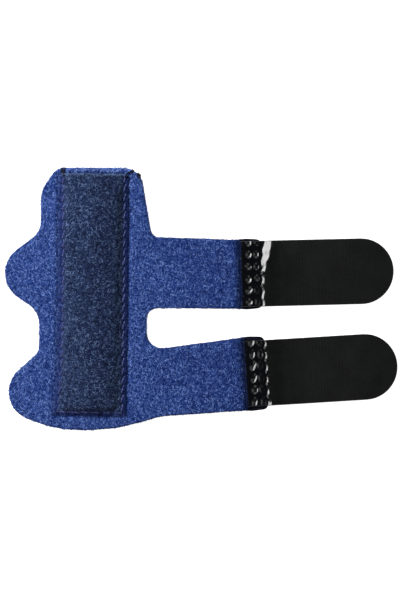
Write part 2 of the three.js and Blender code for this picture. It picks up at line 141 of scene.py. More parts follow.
# The seams that hold the sleeve.
STITCH_PITCH = 2.7 * MM
STITCH_SLANT = {"left": 0.45 * MM, "right": 0.4 * MM, "foot": 0.1 * MM}
STITCH_ARCH = 0.1 * MM
STITCH_SINK = 0.5 * MM
SINK_SHARE = 0.28
THREAD_RADIUS = 0.21 * MM
THREAD_RISE = 0.14 * MM
UNDER_THREAD_RISE = 0.12 * MM
NOTCH_OUT = 0.4 * MM
NOTCH_WIDTH = 0.36 * MM
SEAM_WIDTH = 0.5 * MM
SEAM_INSET = {"left": 1.75 * MM, "right": 1.25 * MM, "foot": 1.15 * MM}
SEAM_DEPTH = 0.2 * MM
NOTCH_DEPTH = 0.45 * MM
EDGE_PULL = 0.2 * MM
EDGE_FALL = 0.4 * MM
EDGE_RAGGED = 0.15 * MM
SLEEVE_WAVE = 0.1 * MM
SLEEVE_GRID = (150, 62)
# Distances to a seam are worked out for so many points at once.
AT_ONCE = 4000

# The hook tabs and their welds.
WELD_LENGTH = 6.4 * MM
WELD_RAGGED = 0.35 * MM
PLATE_THICKNESS = 0.5 * MM
PLATE_FLARE = 0.06 * MM
TIP_FLARE = 0.2 * MM
PAD_LEVEL = 2.0 * MM
PRESSED_LEVEL = 1.3 * MM
DIMPLE_REACH = 0.95 * MM
DIMPLE_HEIGHTS = {"upper_hook_tab": 1.2 * MM, "lower_hook_tab": 1.55 * MM}
DIMPLE_COLUMNS = (2.45 * MM, 4.95 * MM)
DIMPLE_DEPTHS = (0.4 * MM, 0.26 * MM)
DIMPLE_ROWS = 6
DIMPLE_PITCH = 3.7 * MM
DIMPLE_SHIFT = 0.5 * MM
DIMPLE_ROUNDNESS = 1.6
DIMPLE_SCATTER = 0.12 * MM
RISE_SLOPE = 0.5
HUMP_RISE = 1.15 * MM
HUMP_LENGTH = 5 * MM
SCALLOP = 0.15 * MM
FACE_ROLL = 0.12
FINE_LENGTH = WELD_LENGTH + 3 * MM
LEVELLING = 9 * MM
# The two narrow cells along a plate's rim reach in so far.
RIM_CELLS = (0.25 * MM, 0.1 * MM)
SATIN_FROM = WELD_LENGTH + 3.2 * MM
SATIN_BLEND = 3 * MM
SATIN_ROUGHER = 0.1
HOOK_PITCH = (1.25 * MM, 1.45 * MM)
HOOK_ROWS = 13
HOOKS_FROM = WELD_LENGTH + 3.6 * MM
HOOKS_CLEAR = 1.1 * MM
HOOK_STEM = 0.42 * MM
HOOK_CURL = 0.15 * MM
HOOK_RADII = (0.15 * MM, 0.07 * MM)

# The room. A light has an azimuth and elevation in degrees, a distance, a width and height, and watts.
LIGHTS = {
    "key from the left": (160, 38, 0.35, (0.37, 0.1), 2.1),
    "fill from the right": (5, 45, 1.0, (0.6, 0.8), 1.6),
    "fill from the neck": (90, 45, 1.0, (0.8, 0.5), 2.6),
    "fill from the foot": (270, 45, 1.0, (0.8, 0.5), 1.6),
}
WORLD_STRENGTH = 0.04


# Meshes


def add_object(name, data):
    thing = bpy.data.objects.new(name, data)
    scene.collection.objects.link(thing)
    return thing


def add_piece(name, points, faces, materials, slot, kinds=None, **values):
    """A mesh object from arrays, riding on the splint's one body. kinds picks each face's material, and
    values are stored with the points for the materials to read."""
    points = np.asarray(points, dtype=np.float32)
    faces = np.asarray(faces, dtype=np.int32)
    sides = faces.shape[1]
    mesh = bpy.data.meshes.new(name)
    mesh.vertices.add(len(points))
    mesh.vertices.foreach_set("co", points.ravel())
    mesh.loops.add(faces.size)
    mesh.loops.foreach_set("vertex_index", faces.ravel())
    mesh.polygons.add(len(faces))
    mesh.polygons.foreach_set("loop_start", np.arange(0, faces.size, sides, dtype=np.int32))
    for material in materials:
        mesh.materials.append(material)
    if kinds is not None:
        mesh.polygons.foreach_set("material_index", np.asarray(kinds, dtype=np.int32))
    for key, value in values.items():
        attribute = mesh.attributes.new(key, "FLOAT", "POINT")
        attribute.data.foreach_set("value", np.asarray(value, dtype=np.float32))
    mesh.update(calc_edges=True)
    mesh.polygons.foreach_set("use_smooth", np.ones(len(faces), dtype=bool))
    piece = add_object(name, mesh)
    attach(piece, "root")
    return piece


def grid_sheet(name, plan, top, under, shape, edge_drop, materials, slot, melt):
    """A closed sheet from a grid of plan points with upper and lower heights. Its rim drops a little."""
    rows, columns = shape
    grid = np.arange(rows * columns).reshape(shape)
    rim = np.concatenate([grid[0, :-1], grid[:-1, -1], grid[-1, :0:-1], grid[:0:-1, 0]])
    top = top.copy()
    top[rim] = np.maximum(top[rim] - edge_drop, under[rim] + 0.1 * MM)
    a, b, c, d = grid[:-1, :-1], grid[:-1, 1:], grid[1:, 1:], grid[1:, :-1]
    upper = np.stack([a, b, c, d], axis=-1).reshape(-1, 4)
    size = rows * columns
    after = np.roll(rim, -1)
    wall = np.column_stack([rim + size, after + size, after, rim])
    points = np.vstack([np.column_stack([plan, top]), np.column_stack([plan, under])])
    faces = np.vstack([upper, upper[:, ::-1] + size, wall])
    return add_piece(name, points, faces, materials, slot, melt=np.tile(melt, 2))


def unit(vectors):
    """Vectors at length 1."""
    return vectors / np.maximum(np.linalg.norm(vectors, axis=-1, keepdims=True), 1e-12)


def tube(line, radius, sides=6):
    """A closed tube along a line of points. radius may vary along it."""
    line = np.asarray(line, dtype=float)
    radius = np.broadcast_to(radius, len(line))
    heading = unit(np.gradient(line, axis=0))
    guide = np.where(np.abs(heading[:, 2:]) < 0.8, [0, 0, 1.0], [1.0, 0, 0])
    side = unit(np.cross(heading, guide))
    above = np.cross(side, heading)
    angles = (2 * np.pi * np.arange(sides) / sides)[:, None]
    ring = side[:, None] * np.cos(angles) + above[:, None] * np.sin(angles)
    points = (line[:, None] + ring * radius[:, None, None]).reshape(-1, 3)
    i = np.arange(sides)
    j = (i + 1) % sides
    faces = []
    for row in range(len(line) - 1):
        a, b = row * sides, (row + 1) * sides
        faces += [np.column_stack([a + i, b + j, a + j]), np.column_stack([a + i, b + i, b + j])]
    last = (len(line) - 1) * sides
    fan = np.column_stack([np.zeros(sides - 2, dtype=int), i[1:-1], i[2:]])
    return points, np.vstack([*faces, fan, fan[:, ::-1] + last])


def joined(parts):
    """Several meshes' points and faces as one."""
    starts = np.cumsum([0] + [len(points) for points, _ in parts[:-1]])
    faces = [part[1] + start for part, start in zip(parts, starts)]
    return np.vstack([points for points, _ in parts]), np.vstack(faces)


def smooth_step(share):
    share = np.clip(share, 0, 1)
    return share * share * (3 - 2 * share)


def ray_tree(piece):
    """A piece's surface as a tree that rays are cast at."""
    mesh = bmesh.new()
    mesh.from_mesh(piece.data)
    tree = BVHTree.FromBMesh(mesh)
    mesh.free()
    return tree


def blur(grid, sigma):
    """A Gaussian blur of a grid, sigma in cells."""
    reach = int(math.ceil(3 * sigma))
    weights = np.exp(-0.5 * (np.arange(-reach, reach + 1) / sigma) ** 2)
    weights /= weights.sum()
    for axis in (0, 1):
        padded = np.pad(grid, [(reach, reach) if a == axis else (0, 0) for a in (0, 1)], mode="edge")
        span = np.arange(grid.shape[axis])
        grid = sum(w * np.take(padded, span + i, axis) for i, w in enumerate(weights))
    return grid


class Relief:
    """The height of a CAD node's upper or lower side, softened as cloth or melted plastic is.

    Cells nearer than inset to the node's edge take their height from further in, so that an edge's own
    rounding stays out of it.
    """

    def __init__(self, name, cell, softness, inset=0.0, below=False):
        low, high = (np.array(corner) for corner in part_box(name))
        self.cell = cell
        self.start = low[:2] - 4 * cell
        counts = np.ceil((high[:2] - low[:2]) / cell).astype(int) + 9
        tree = ray_tree(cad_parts[name])
        level, way = (low[2] - MM, UP) if below else (high[2] + MM, -UP)
        rows = []
        for j in range(counts[1]):
            y = self.start[1] + j * cell
            hits = (tree.ray_cast((self.start[0] + i * cell, y, level), way)[0] for i in range(counts[0]))
            rows.append([hit.z if hit else math.nan for hit in hits])
        heights = np.array(rows)
        self.inside = ~np.isnan(heights)
        held = self.shrunk(inset)
        shares, levels = [], []
        for reach in (softness, FAR_SOFTNESS):
            shares.append(blur(held.astype(float), reach / cell))
            levels.append(blur(np.where(held, heights, 0.0), reach / cell) / np.maximum(shares[-1], 1e-9))
        self.heights = np.where(shares[0] > 1e-3, levels[0], levels[1])

    def shrunk(self, inset):
        """The cells that lie at least inset from the node's edge."""
        inside = self.inside.copy()
        for _ in range(int(round(inset / self.cell))):
            inner = inside.copy()
            for axis in (0, 1):
                inner &= np.roll(inside, 1, axis) & np.roll(inside, -1, axis)
            inside = inner
        return inside

    def place(self, points):
        cells = (points[:, :2] - self.start) / self.cell
        return np.clip(cells, 0, np.array(self.heights.shape[::-1]) - 1.001)

    def at(self, points):
        """The heights at points, read between the cells."""
        cells = self.place(points)
        i, j = cells.astype(int).T
        u, v = (cells - cells.astype(int)).T
        grid = self.heights
        lower = grid[j, i] * (1 - u) + grid[j, i + 1] * u
        upper = grid[j + 1, i] * (1 - u) + grid[j + 1, i + 1] * u
        return lower * (1 - v) + upper * v

    def holds(self, points, inset=0.0):
        """Whether points lie on the node, at least inset from its edge."""
        i, j = np.round(self.place(points)).astype(int).T
        return self.shrunk(inset)[j, i]


def outline_of(name, level):
    """A CAD node's outline at a level, as one ordered loop of points, anticlockwise."""
    mesh = bmesh.new()
    mesh.from_mesh(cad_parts[name].data)
    bmesh.ops.remove_doubles(mesh, verts=mesh.verts, dist=1e-7)
    everything = mesh.verts[:] + mesh.edges[:] + mesh.faces[:]
    cut = bmesh.ops.bisect_plane(mesh, geom=everything, plane_co=(0, 0, level), plane_no=UP)["geom_cut"]
    edges = {part for part in cut if isinstance(part, bmesh.types.BMEdge)}
    first = min(edges, key=lambda edge: tuple(edge.verts[0].co))
    loop = [first.verts[0]]
    here, edge = first.verts[1], first
    while here != loop[0]:
        loop.append(here)
        edge = next(e for e in here.link_edges if e in edges and e != edge)
        here = edge.other_vert(here)
    points = np.array([v.co[:2] for v in loop])
    mesh.free()
    x, y = points.T
    area = (x * np.roll(y, -1) - y * np.roll(x, -1)).sum()
    return points if area > 0 else points[::-1]


def evenly(points, step, closed=False):
    """A line of points walked through again at an even step."""
    if closed:
        points = np.vstack([points, points[:1]])
    lengths = np.concatenate([[0], np.cumsum(np.linalg.norm(np.diff(points, axis=0), axis=1))])
    count = max(2, int(round(lengths[-1] / step)))
    places = np.linspace(0, lengths[-1], count, endpoint=not closed)
    return np.column_stack([np.interp(places, lengths, column) for column in points.T])


def softened(points, step, sigma):
    """A closed line with its corners rounded off, at an even step."""
    points = evenly(points, step, closed=True)
    reach = int(math.ceil(3 * sigma / step))
    shifts = range(-reach, reach + 1)
    weights = np.array([math.exp(-0.5 * (shift * step / sigma) ** 2) for shift in shifts])
    total = sum(w * np.roll(points, shift, axis=0) for w, shift in zip(weights, shifts))
    return evenly(total / weights.sum(), step, closed=True)


def outward(points):
    """The outward directions of a closed anticlockwise line."""
    along = unit(np.roll(points, -1, axis=0) - np.roll(points, 1, axis=0))
    return np.column_stack([along[:, 1], -along[:, 0]])


def mottle(points, size, seed):
    """Smooth noise from -1 to 1 at points on a line, in plan or in space, with features of about that
    size."""
    shift = Vector((seed * 7.3, seed * 3.1, seed * 5.7))
    return np.array([noise.noise(Vector((*p, 0, 0)[:3]) / size + shift) for p in points])


# Materials


class Nodes:
    """A new material's node tree, with short calls for the nodes that the finishes are made of."""

    def __init__(self, name):
        self.material = bpy.data.materials.new(name)
        self.material.use_nodes = True
        self.tree = self.material.node_tree
        self.shader = self.tree.nodes["Principled BSDF"]
        self.place = self.add("ShaderNodeTexCoord").outputs["Object"]

    def add(self, kind, **values):
        node = self.tree.nodes.new(kind)
        for key, value in values.items():
            setattr(node, key, value)
        return node

    def feed(self, socket, value):
        """Gives a socket another socket's value, or a plain one."""
        if isinstance(value, bpy.types.NodeSocket):
            self.tree.links.new(value, socket)
        else:
            socket.default_value = value

    def set(self, node, **values):
        for key, value in values.items():
            self.feed(node.inputs[key.replace("_", " ")], value)
        return node

    def stored(self, name):
        """The value that is stored with a piece's points under that name."""
        return self.add("ShaderNodeAttribute", attribute_name=name).outputs["Fac"]

    def turned(self, turn, scale=(1, 1, 1)):
        """Places in a frame turned about the upright axis."""
        node = self.add("ShaderNodeMapping")
        return self.set(node, Vector=self.place, Rotation=(0, 0, -turn), Scale=scale).outputs["Vector"]

    def noise(self, size, detail=3.0, roughness=0.55, distortion=0.0, vector=None):
        node = self.set(
            self.add("ShaderNodeTexNoise"), Vector=vector or self.place, Scale=1 / size,
            Detail=detail, Roughness=roughness, Distortion=distortion,
        )
        return node.outputs["Fac"]

    def ramp(self, value, colours):
        node = self.add("ShaderNodeValToRGB")
        elements = node.color_ramp.elements
        while len(elements) < len(colours):
            elements.new(0.5)
        for element, (position, colour) in zip(elements, colours):
            element.position = position
            element.color = (*colour, 1)
        self.feed(node.inputs["Fac"], value)
        return node.outputs["Color"]

    def math(self, operation, a, b):
        node = self.add("ShaderNodeMath", operation=operation)
        for socket, value in zip(node.inputs, (a, b)):
            self.feed(socket, value)
        return node.outputs["Value"]

    def span(self, value, low, high, to_low=0.0, to_high=1.0):
        node = self.add("ShaderNodeMapRange")
        self.set(node, Value=value, From_Min=low, From_Max=high, To_Min=to_low, To_Max=to_high)
        return node.outputs["Result"]

    def blend(self, factor, a, b):
        node = self.add("ShaderNodeMix", data_type="RGBA")
        for key, value in (("Factor_Float", factor), ("A_Color", a), ("B_Color", b)):
            self.feed(next(s for s in node.inputs if s.identifier == key), value)
        return next(s for s in node.outputs if s.identifier == "Result_Color")

    def bump(self, height, distance, strength=1.0, normal=None):
        node = self.set(self.add("ShaderNodeBump"), Height=height, Distance=distance, Strength=strength)
        if normal:
            self.set(node, Normal=normal)
        return node.outputs["Normal"]

    def finish(self, **values):
        self.set(self.shader, **values)
        return self.material


def from_screen(red, green, blue):
    """A colour as read on a screen, 0 to 255, in the linear values that shaders take."""
    shares = [channel / 255 for channel in (red, green, blue)]
    return tuple(s / 12.92 if s <= 0.04045 else ((s + 0.055) / 1.055) ** 2.4 for s in shares)


def stops(places, *colours):
    """A ramp's stops from their places on it and their colours on a screen."""
    return list(zip(places, [from_screen(*colour) for colour in colours]))


def cloth_ground(name, clean, melted_and_shaded):
    """The knitted ground under a loop pile: matted fibres, darker where the pile parts. Its colours turn to
    the second set where the stored value says so: melted black at a weld, blue in painted shade at the
    sleeve's margins."""
    n = Nodes(name)
    fibres = n.noise(0.5 * MM, detail=5, roughness=0.65, distortion=1.6)
    tufts = n.noise(1.5 * MM, detail=3, distortion=0.6)
    level = n.math("ADD", n.math("MULTIPLY", fibres, 0.7), n.math("MULTIPLY", tufts, 0.3))
    level = n.span(level, 0.3, 0.75)
    colour = n.blend(n.stored("melt"), n.ramp(level, clean), n.ramp(level, melted_and_shaded))
    relief = n.bump(fibres, 0.22 * MM, 0.9, n.bump(tufts, 0.3 * MM, 0.7))
    return n.finish(
        Base_Color=colour, Normal=relief, Roughness=0.95,
        Specular_IOR_Level=0.05, Sheen_Weight=0.02, Sheen_Roughness=0.6,
    )


def pile_fibre(name, clean, melted_and_shaded):
    """The loops of a pile. Each loop's tone is stored with it, and varies a little along it."""
    n = Nodes(name)
    along = n.noise(0.25 * MM, detail=2)
    level = n.math("ADD", n.stored("tone"), n.math("MULTIPLY", n.math("SUBTRACT", along, 0.5), 0.3))
    return n.finish(
        # The colours turn to the second set where the stored value says so: melted black at a weld, blue in
        # painted shade at the sleeve's margins.
        Base_Color=n.blend(n.stored("melt"), n.ramp(level, clean), n.ramp(level, melted_and_shaded)),
        Roughness=0.8, Specular_IOR_Level=0.08, Sheen_Weight=0.02, Sheen_Roughness=0.5,
        Normal=n.bump(along, 0.03 * MM, 0.5),
    )


def foam_core(name):
    """The cut edge of the foam: dark open cells."""
    n = Nodes(name)
    cells = n.add("ShaderNodeTexVoronoi")
    n.set(cells, Vector=n.place, Scale=1 / (0.28 * MM), Randomness=1.0)
    distance = cells.outputs["Distance"]
    colour = n.ramp(distance, stops((0.1, 0.7), (10, 12, 22), (34, 38, 56)))
    return n.finish(
        Base_Color=colour, Roughness=0.9, Specular_IOR_Level=0.2, Normal=n.bump(distance, 0.12 * MM, 0.8)
    )


def thread_finish(name, dark, light):
    """Twisted sewing thread: fine slanting plies with a soft gloss."""
    n = Nodes(name)
    plies = n.add("ShaderNodeTexWave", bands_direction="DIAGONAL")
    n.set(plies, Vector=n.place, Scale=0.6 / MM, Distortion=1.5, Detail=2.0)
    colour = n.ramp(plies.outputs["Fac"], stops((0.2, 0.8), dark, light))
    return n.finish(
        Base_Color=colour, Roughness=0.6, Specular_IOR_Level=0.1, Sheen_Weight=0.03,
        Sheen_Roughness=0.4, Normal=n.bump(plies.outputs["Fac"], 0.05 * MM, 0.6),
    )


def moulded_black(name, tab):
    """The back of moulded hook tape, with faint draw lines across it, and scuffs. The weld's heat has
    made it glossy as far as its hump, and the rest of it is satin."""
    n = Nodes(name)
    turned = n.turned(tab.turn)
    apart = n.set(n.add("ShaderNodeSeparateXYZ"), Vector=turned)
    start = float(tab.start @ tab.along) + SATIN_FROM
    satin = n.span(apart.outputs["X"], start, start + SATIN_BLEND, 0.0, SATIN_ROUGHER)
    lines = n.add("ShaderNodeTexWave", bands_direction="X")
    n.set(lines, Vector=turned, Scale=0.32 / MM, Distortion=0.8, Detail=1.0)
    flow = n.noise(0.9 * MM, detail=3, distortion=0.5)
    haze = n.noise(6 * MM, detail=3)
    scuffs = n.noise(0.3 * MM, detail=4, roughness=0.7)
    colour = n.ramp(flow, stops((0.3, 0.7), (8, 9, 9), (13, 14, 14)))
    colour = n.blend(n.stored("melt"), colour, (*WELDED, 1))
    shine = n.math("ADD", n.span(haze, 0.3, 0.7, 0.14, 0.19), n.math("MULTIPLY", scuffs, 0.05))
    shine = n.math("ADD", shine, satin)
    relief = n.bump(lines.outputs["Fac"], 0.012 * MM, 0.6, n.bump(flow, 0.02 * MM, 0.4))
    return n.finish(Base_Color=colour, Roughness=shine, Specular_IOR_Level=0.5, Normal=relief)


def brushed_aluminium(name, turn):
    """The stay's bare strip, brushed along its length."""
    n = Nodes(name)
    grain = n.noise(0.12 * MM, detail=3, vector=n.turned(turn, scale=(1, 0.02, 1)))
    colour = n.ramp(grain, [(0.3, (0.5, 0.51, 0.52)), (0.7, (0.72, 0.73, 0.74))])
    return n.finish(
        Base_Color=colour, Metallic=1.0, Roughness=n.span(grain, 0.3, 0.7, 0.25, 0.45),
        Normal=n.bump(grain, 0.01 * MM, 0.5),
    )


# The heathered cloths' colours run from their darkest fibres to their palest.
HEATHER = (0.0, 0.25, 0.55, 0.95)
BLUE = stops(HEATHER, (12, 30, 84), (27, 49, 112), (53, 79, 147), (118, 147, 214))
NAVY = stops(HEATHER, (7, 12, 33), (19, 29, 58), (38, 53, 88), (95, 117, 157))
# The sleeve's margins are drawn down among the panel's blue loops, and take their blue darkened with painted
# shade.
MARGIN_IN_PAINTED_SHADE = stops(HEATHER, (5, 13, 48), (15, 28, 76), (32, 49, 102), (74, 94, 148))
MELTED = stops((0.0, 1.0), (5, 7, 13), (16, 19, 34))
WELDED = from_screen(3, 4, 7)
blue_ground = cloth_ground("blue loop ground", BLUE, MELTED)
blue_pile = pile_fibre("blue loop pile", BLUE, MELTED)
navy_ground = cloth_ground("navy loop ground", NAVY, MARGIN_IN_PAINTED_SHADE)
navy_pile = pile_fibre("navy loop pile", NAVY, MARGIN_IN_PAINTED_SHADE)
core = foam_core("dark foam core")
seam_thread = thread_finish("seam thread", (40, 46, 90), (82, 91, 144))
dark_thread = thread_finish("dark thread ends", (4, 6, 14), (20, 24, 40))


# The plans of the sleeve and the tabs


def plan_of(name):
    """The plan places of a CAD node's corners."""
    return np.array([v.co[:2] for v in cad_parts[name].data.vertices])


def furthest(plan, *way):
    """The plan place that lies furthest in a direction."""
    return plan[np.argmax(plan @ np.array(way))]


class SleeveFrame:
    """The sleeve's plan: its foot and mouth, and its two edges at each height, found by rays."""

    def __init__(self):
        plan = plan_of("sleeve")
        left, right = furthest(plan, -1, -1), furthest(plan, 1, -1)
        self.foot = (left + right) / 2
        self.width = float(np.linalg.norm(right - left))
        mouth = (furthest(plan, -1, 1) + furthest(plan, 1, 1)) / 2
        self.length = float(np.linalg.norm(mouth - self.foot))
        self.along = (mouth - self.foot) / self.length
        self.across = np.array((self.along[1], -self.along[0]))
        self.turn = math.atan2(-self.along[0], self.along[1])
        self.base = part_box("sleeve")[0][2]
        tree = ray_tree(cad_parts["sleeve"])
        self.places = np.linspace(0.002, 0.998, 60)
        self.sides = {}
        for name, sign in (("left", -1), ("right", 1)):
            reach = []
            for place in self.places:
                middle = self.foot + self.along * self.length * place
                far = Vector((*(middle + self.across * sign * 20 * MM), self.base + 0.5 * MM))
                hit = tree.ray_cast(far, Vector((*(-sign * self.across), 0)))[0]
                reach.append(float(np.dot(np.array(hit[:2]) - middle, self.across)))
            self.sides[name] = np.array(reach)

    def edge(self, name, v):
        return np.interp(v, self.places, self.sides[name])

    def plan(self, across, v):
        """The plan point at a distance across the sleeve and a share of its length."""
        across, v = np.broadcast_arrays(across, v)
        return self.foot + self.along * (self.length * v)[..., None] + self.across * across[..., None]

    def share(self, points):
        """How far up the sleeve points lie, 0 at its foot and 1 at its mouth."""
        return (points[:, :2] - self.foot) @ self.along / self.length

    def aside(self, points):
        """How far points lie to the right of the sleeve's middle line."""
        return (points[:, :2] - self.foot) @ self.across


class TabFrame:
    """A tab's plan: its square end on the weld, its direction, its length and its width."""

    def __init__(self, name):
        plan = plan_of(name)
        low, high = furthest(plan, -1, -0.2), furthest(plan, -1, 0.2)
        self.width = float(np.linalg.norm(high - low))
        self.across = (high - low) / self.width
        self.along = np.array((self.across[1], -self.across[0]))
        self.start = (high + low) / 2
        self.length = float(((plan - self.start) @ self.along).max())
        self.turn = math.atan2(self.along[1], self.along[0])

    def plan(self, x, y):
        x, y = np.broadcast_arrays(x, y)
        return self.start + self.along * x[..., None] + self.across * y[..., None]

    def place(self, points):
        """The distances of points along the tab and across it."""
        apart = points[:, :2] - self.start
        return apart @ self.along, apart @ self.across

    def tip(self, y):
        """How far the round tip reaches at a distance from the middle line."""
        radius = self.width / 2
        return self.length - radius + np.sqrt(np.maximum(radius**2 - y**2, 0))


sleeve = SleeveFrame()
tabs = {name: TabFrame(name) for name in TAB_SEEDS}
panel_top = Relief("panel", 0.3 * MM, 0.35 * MM, inset=0.9 * MM)
sleeve_top = Relief("sleeve", 0.25 * MM, 0.5 * MM)
sleeve_under = Relief("sleeve", 0.25 * MM, 0.3 * MM, below=True)
tab_tops = {name: Relief(name, 0.2 * MM, 0.3 * MM, inset=0.8 * MM) for name in tabs}


def melted(points):
    """How far the weld has melted the cloth at points: 0 for clean cloth and 1 in the weld."""
    ragged = WELD_RAGGED * mottle(points[:, :2], 0.8 * MM, 70)
    share = np.zeros(len(points))
    for tab in tabs.values():
        x, y = tab.place(points)
        near = (x < 2 * WELD_LENGTH) & (np.abs(y) < 0.7 * tab.width)
        share = np.maximum(share, near * smooth_step((x + ragged + 0.5 * MM) / (0.9 * MM)))
    return share


# The foam laminate


def panel_heights(points):
    """How thick the laminate is at points: the CAD panel's own top, with the cloth's slight waves."""
    return panel_top.at(points) + FACE_WAVE * (mottle(points, FACE_WAVE_SIZE, 1) - 1)


def make_panel():
    """One closed body: two faces of cloth that round over at the edge, and the hollow core between."""
    rim = softened(outline_of("panel", OUTLINE_LEVEL), EDGE_STEP, CORNER_SOFTNESS)
    out = outward(rim)
    rim += EDGE_SWELL * out
    inner_rim = rim - out * EDGE_RINGS[0][0]
    thick = panel_heights(inner_rim) - UNDER_LEVEL
    rings = [
        np.column_stack([rim - out * inset, UNDER_LEVEL + thick * share]) for inset, share in EDGE_RINGS
    ]
    count = len(rim)
    points = np.vstack(rings)
    i = np.arange(count)
    j = (i + 1) % count
    faces = []
    kinds = []
    for row in range(len(rings) - 1):
        a, b = row * count, (row + 1) * count
        faces += [np.column_stack([a + i, a + j, b + j]), np.column_stack([a + i, b + j, b + i])]
        kinds += [1 if CORE_RINGS[0] <= row < CORE_RINGS[1] else 0] * (2 * count)
    low, high = rim.min(axis=0), rim.max(axis=0)
    ys = np.arange(low[1], high[1], FACE_STEP * math.sqrt(0.75))
    grid = np.array([
        (x, y)
        for row, y in enumerate(ys)
        for x in np.arange(low[0] + FACE_STEP / 2 * (row % 2), high[0], FACE_STEP)
    ])
    grid = grid[panel_top.holds(grid, FACE_INSET)]
    grid += random.uniform(-FACE_JITTER, FACE_JITTER, grid.shape) * FACE_STEP
    flat = np.vstack([inner_rim, grid])
    edges = [(int(a), int(b)) for a, b in zip(i, j)]
    filled = geometry.delaunay_2d_cdt([Vector(p) for p in flat], edges, [], 1, 1e-9)
    triangles = np.array([ids[0] for ids in filled[3]])[np.array(filled[2])]
    corners = flat[triangles]
    u, v = corners[:, 1] - corners[:, 0], corners[:, 2] - corners[:, 0]
    turned = u[:, 0] * v[:, 1] - u[:, 1] * v[:, 0] < 0
    triangles[turned] = triangles[turned][:, ::-1]
    below = len(points)
    above = below + len(grid)
    last_ring = (len(rings) - 1) * count
    under = np.where(triangles < count, triangles, triangles - count + below)
    over = np.where(triangles < count, triangles + last_ring, triangles - count + above)
    points = np.vstack([
        points,
        np.column_stack([grid, np.full(len(grid), UNDER_LEVEL)]),
        np.column_stack([grid, panel_heights(grid)]),
    ])
    faces = np.vstack([*faces, under[:, ::-1], over])
    kinds = np.concatenate([kinds, np.zeros(2 * len(triangles), dtype=int)])
    panel = add_piece(
        "panel_laminate", points, faces, [blue_ground, core], "blue_loop_cloth",
        kinds=kinds, melt=melted(points),
    )
    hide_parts("panel")
    return panel


# Pile


def values_of(items, key, width=1, kind=np.int32):
    """A value of each of a mesh's items, as one flat array."""
    values = np.empty(width * len(items), dtype=kind)
    items.foreach_get(key, values)
    return values


def scattered(piece, count, wanted):
    """Random places on a piece's faces of its first material: points and normals. wanted picks faces."""
    mesh = piece.data
    mesh.calc_loop_triangles()
    triangles = values_of(mesh.loop_triangles, "vertices", 3).reshape(-1, 3)
    owners = values_of(mesh.loop_triangles, "polygon_index")
    kinds = values_of(mesh.polygons, "material_index")
    places = values_of(mesh.vertices, "co", 3, np.float32).reshape(-1, 3)
    corners = places[triangles].astype(float)
    across = np.cross(corners[:, 1] - corners[:, 0], corners[:, 2] - corners[:, 0])
    area = np.linalg.norm(across, axis=1)
    normals = across / np.maximum(area, 1e-15)[:, None]
    area[(kinds[owners] > 0) | ~wanted(corners.mean(axis=1), normals)] = 0
    chosen = random.choice(len(area), count, p=area / area.sum())
    shares = random.dirichlet((1, 1, 1), count)
    return np.einsum("nk,nkd->nd", shares, corners[chosen]), normals[chosen]


def make_pile(name, roots, normals, material, slot, tone, height, melt, heading=None):
    """Loops of fibre that arch over a cloth: one curled flat ribbon each, joined in one mesh."""
    count = len(roots)
    if heading is None:
        # Slightly more of the loops lie along the neck than across it.
        heading = random.uniform(0, 2 * math.pi, count)
        heading += COMBED * np.sin(2 * heading)
    along = np.column_stack([np.cos(heading), np.sin(heading), random.uniform(-0.3, 0.3, count)])
    along = unit(along - normals * (along * normals).sum(axis=1)[:, None])
    side = np.cross(normals, along)
    # The loops at the cut edge are trimmed with it, so they are shorter.
    trim = np.clip(normals[:, 2] / 0.8, 0.45, 1)
    reach = LOOP_LENGTH * random.uniform(*LOOP_LENGTHS, count) * trim
    rise = height * random.uniform(*LOOP_HEIGHTS, count) * trim
    swing = LOOP_LENGTH * random.normal(0, LOOP_SWING, count)
    curl = LOOP_LENGTH * random.normal(0, LOOP_CURL, count)
    lean = random.normal(0, LOOP_LEAN, count)
    width = LOOP_WIDTH * random.uniform(*LOOP_WIDTHS, count)
    # One row for each loop, and in it a place for each end of its segments.
    roots, normals, along, side = (row[:, None] for row in (roots, normals, along, side))
    loops = (reach, rise, swing, curl, lean, width)
    reach, rise, swing, curl, lean, width = (row[:, None, None] for row in loops)
    t = np.linspace(0, 1, LOOP_SEGMENTS + 1)[:, None]
    arch = np.sin(math.pi * t)
    wave = np.sin(2 * math.pi * t)
    line = roots + along * (reach * (t - 0.5)) + side * (swing * arch + curl * wave)
    line = line + normals * (rise * arch - ROOT_DEPTH)
    flat = unit(np.cross(np.gradient(line, axis=1), normals + side * lean))
    half = 0.5 * width * (0.45 + 0.55 * arch)
    ribbons = np.stack([line - flat * half, line + flat * half], axis=2).reshape(-1, 3)
    # No fibre reaches under the splint's lowest level.
    ribbons[:, 2] = np.maximum(ribbons[:, 2], cad_low[2] + 0.01 * MM)
    each = 2 * (LOOP_SEGMENTS + 1)
    start = each * np.arange(count)[:, None] + 2 * np.arange(LOOP_SEGMENTS)
    faces = (start[:, :, None] + np.array([0, 1, 3, 2])).reshape(-1, 4)
    melt = np.broadcast_to(melt, count)
    return add_piece(
        name, ribbons, faces, [material], slot, tone=np.repeat(tone, each), melt=np.repeat(melt, each)
    )


def heathered(points, seed):
    """Tones of a heathered pile from 0 to 1: mixed fibres, with soft tufts of lighter and darker ones."""
    mixed = random.normal(TONE_MIDDLE, TONE_SPREAD, len(points))
    tufts = sum(share * mottle(points, size, seed + n) for n, (share, size) in enumerate(TUFTS))
    return np.clip(mixed + tufts, 0.02, 1)


def bare_top(middles, normals):
    """Which faces look up, unmatted, with neither the sleeve nor a tab over them."""
    free = (normals[:, 2] > -0.2) & (melted(middles) < MATTED)
    for cover in (sleeve_top, *tab_tops.values()):
        free &= ~cover.holds(middles, BARE_INSET)
    return free


def underside(middles, normals):
    return (normals[:, 2] < 0.2) & (melted(middles) < MATTED)


